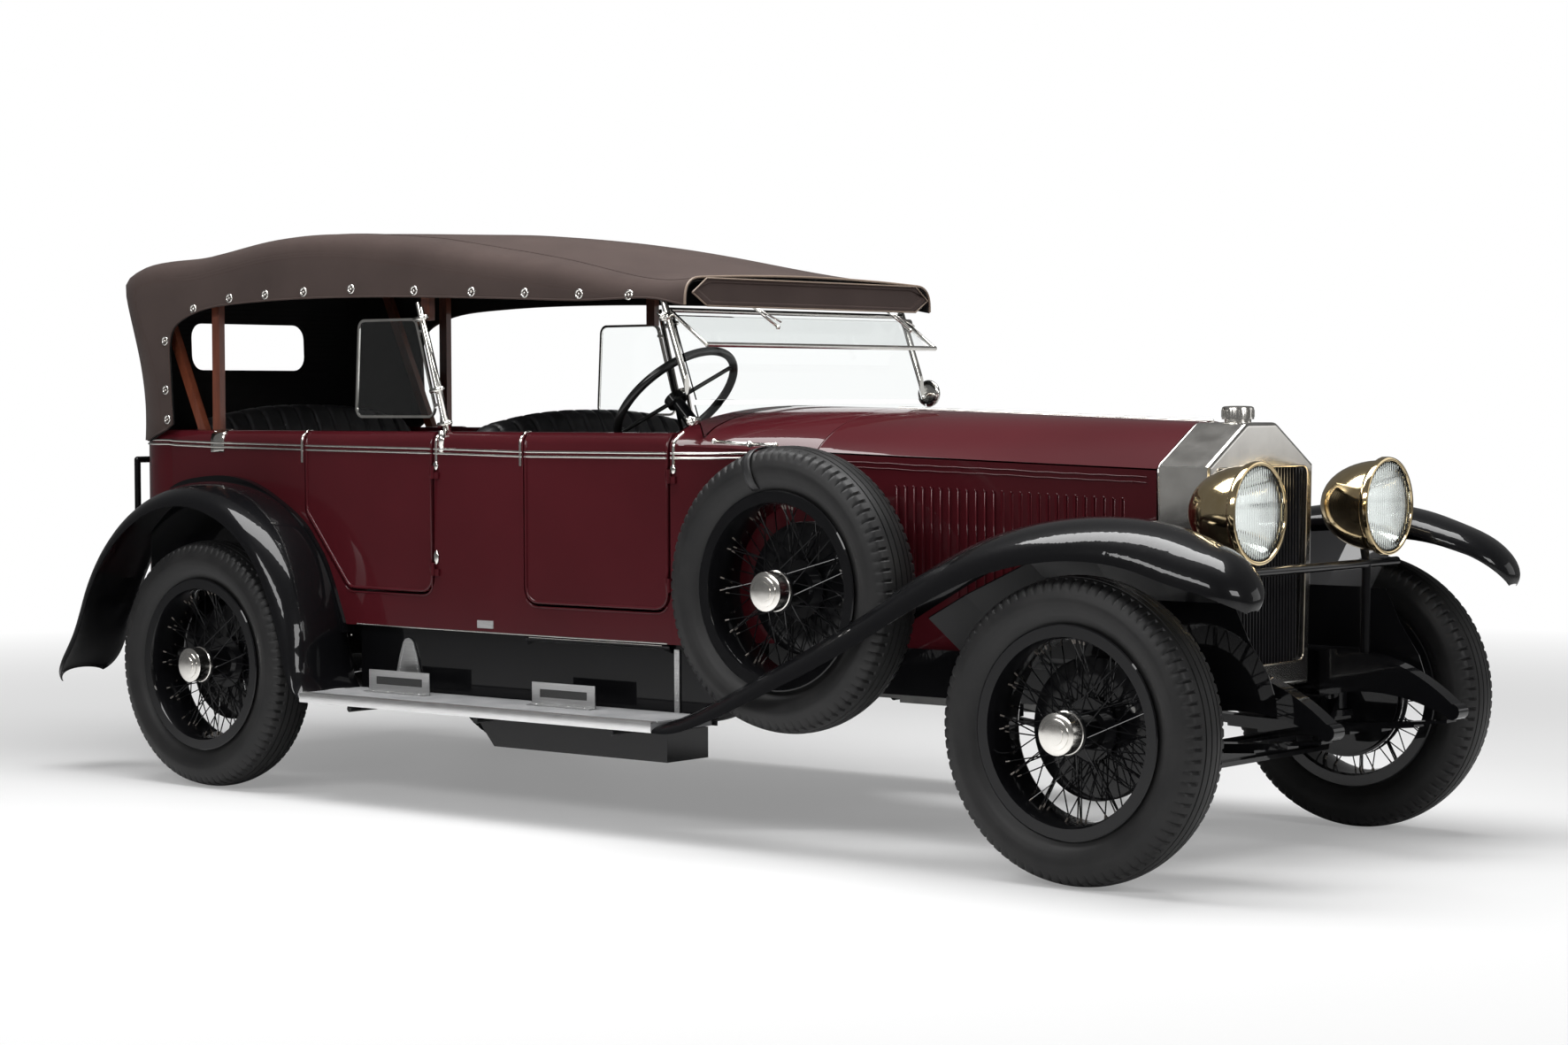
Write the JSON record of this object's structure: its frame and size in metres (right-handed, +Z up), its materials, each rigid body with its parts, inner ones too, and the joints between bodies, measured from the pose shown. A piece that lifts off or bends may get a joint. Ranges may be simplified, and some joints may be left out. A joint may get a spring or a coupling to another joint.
{
  "type": "1920s touring car",
  "caption": "Large open touring car of the 1920s with folding hood, wire wheels, side-mounted spare, louvred bonnet, hinged doors and steering front wheels.",
  "frame": {"origin": "on the ground, at the middle of the car's bounding box", "axes": "+X to the nose, +Y to the car's left, +Z up"},
  "size_m": [5.1229, 1.852, 1.9734],
  "materials": {
    "tyre_rubber": "black tyre rubber, satin",
    "black_enamel": "gloss black enamel",
    "cast_metal": "cast grey metal, dull",
    "maroon_paint": "deep burgundy gloss paint",
    "nickel": "polished nickel plate",
    "dark_grille": "black slatted grille",
    "polished_brass": "polished brass",
    "ribbed_rubber": "grey ribbed rubber with a bright edge",
    "clear_glass": "clear flat glass",
    "canvas": "taupe brown canvas",
    "bent_wood": "varnished bent wood",
    "black_leather": "black pleated leather",
    "wheel_rim": "gloss black rim",
    "polished_wood": "polished walnut board"
  },
  "bodies": {
    "body": {"tyre_spare": "tyre_rubber", "wire_wheel_spare": "black_enamel", "chassis_frame": "black_enamel", "front_axle": "black_enamel", "rear_axle": "black_enamel", "front_fenders": "black_enamel", "rear_fenders": "black_enamel", "valances": "black_enamel", "aprons": "black_enamel", "lamp_bar": "black_enamel", "spare_carrier": "black_enamel", "luggage_rack": "black_enamel", "steering_column": "black_enamel", "under_box": "black_enamel", "engine_gearbox": "cast_metal", "exhaust": "cast_metal", "fuel_tank": "black_enamel", "body_tub": "maroon_paint", "scuttle": "maroon_paint", "bonnet_sides": "maroon_paint", "bonnet_hinge_rod": "nickel", "radiator_shell": "nickel", "radiator_core": "dark_grille", "headlamps": "polished_brass", "running_boards": "ribbed_rubber", "windscreen_frame": "nickel", "side_screens": "nickel", "glass_panes": "clear_glass", "hood_canopy": "canvas", "hood_bows": "bent_wood", "front_seat": "black_leather", "rear_seat": "black_leather", "dashboard": "polished_wood"},
    "knuckle_right": {"knuckle_right": "black_enamel"},
    "knuckle_left": {"knuckle_left": "black_enamel"},
    "wheel_front_right": {"tyre_front_right": "tyre_rubber", "wire_wheel_front_right": "black_enamel"},
    "wheel_front_left": {"tyre_front_left": "tyre_rubber", "wire_wheel_front_left": "black_enamel"},
    "wheel_rear_right": {"tyre_rear_right": "tyre_rubber", "wire_wheel_rear_right": "black_enamel"},
    "wheel_rear_left": {"tyre_rear_left": "tyre_rubber", "wire_wheel_rear_left": "black_enamel"},
    "track_rod": {"track_rod": "black_enamel"},
    "steering_wheel": {"steering_wheel": "wheel_rim"},
    "door_front_left": {"front_door_left": "maroon_paint"},
    "door_front_right": {"front_door_right": "maroon_paint"},
    "door_rear_left": {"rear_door_left": "maroon_paint"},
    "door_rear_right": {"rear_door_right": "maroon_paint"},
    "bonnet_top_left": {"bonnet_top_left": "maroon_paint"},
    "bonnet_top_right": {"bonnet_top_right": "maroon_paint"}
  },
  "joints": [
    {"name": "steer_right", "type": "hinge", "parent": "body", "child": "knuckle_right", "pos_m": [1.9785, -0.63, 0.437], "axis": [0, 0, 1], "range_deg": [-30, 30]},
    {"name": "steer_left", "type": "hinge", "parent": "body", "child": "knuckle_left", "pos_m": [1.9785, 0.63, 0.437], "axis": [0, 0, 1], "range_deg": [-30, 30]},
    {"name": "roll_front_right", "type": "hinge", "parent": "knuckle_right", "child": "wheel_front_right", "pos_m": [1.9785, -0.79, 0.437], "axis": [0, 1, 0], "continuous": true},
    {"name": "roll_front_left", "type": "hinge", "parent": "knuckle_left", "child": "wheel_front_left", "pos_m": [1.9785, 0.79, 0.437], "axis": [0, 1, 0], "continuous": true},
    {"name": "roll_rear_right", "type": "hinge", "parent": "body", "child": "wheel_rear_right", "pos_m": [-1.7215, -0.79, 0.437], "axis": [0, 1, 0], "continuous": true},
    {"name": "roll_rear_left", "type": "hinge", "parent": "body", "child": "wheel_rear_left", "pos_m": [-1.7215, 0.79, 0.437], "axis": [0, 1, 0], "continuous": true},
    {"name": "track_rod_slide", "type": "slide", "parent": "body", "child": "track_rod", "axis": [0, 1, 0], "range_m": [-0.1, 0.1]},
    {"name": "turn_steering_wheel", "type": "hinge", "parent": "body", "child": "steering_wheel", "pos_m": [0.0585, -0.33, 1.365], "axis": [-0.7071, 0, 0.7071], "range_deg": [-450, 450]},
    {"name": "open_front_door_left", "type": "hinge", "parent": "body", "child": "door_front_left", "pos_m": [0.3185, 0.658, 0.976], "axis": [0, 0, -1], "range_deg": [0, 65]},
    {"name": "open_front_door_right", "type": "hinge", "parent": "body", "child": "door_front_right", "pos_m": [0.3185, -0.658, 0.976], "axis": [0, 0, 1], "range_deg": [0, 65]},
    {"name": "open_rear_door_left", "type": "hinge", "parent": "body", "child": "door_rear_left", "pos_m": [-0.7515, 0.658, 1.101], "axis": [0, 0, -1], "range_deg": [0, 65]},
    {"name": "open_rear_door_right", "type": "hinge", "parent": "body", "child": "door_rear_right", "pos_m": [-0.7515, -0.658, 1.101], "axis": [0, 0, 1], "range_deg": [0, 65]},
    {"name": "lift_bonnet_left", "type": "hinge", "parent": "body", "child": "bonnet_top_left", "pos_m": [1.326, 0, 1.318], "axis": [0.9994, 0, -0.0343], "range_deg": [0, 60]},
    {"name": "lift_bonnet_right", "type": "hinge", "parent": "body", "child": "bonnet_top_right", "pos_m": [1.326, 0, 1.318], "axis": [-0.9994, 0, 0.0343], "range_deg": [0, 60]}
  ],
  "couplings": [
    {"joint": "steer_left", "follows": "steer_right", "ratio": 1},
    {"joint": "track_rod_slide", "follows": "steer_right", "m_per_rad": -0.172}
  ]
}
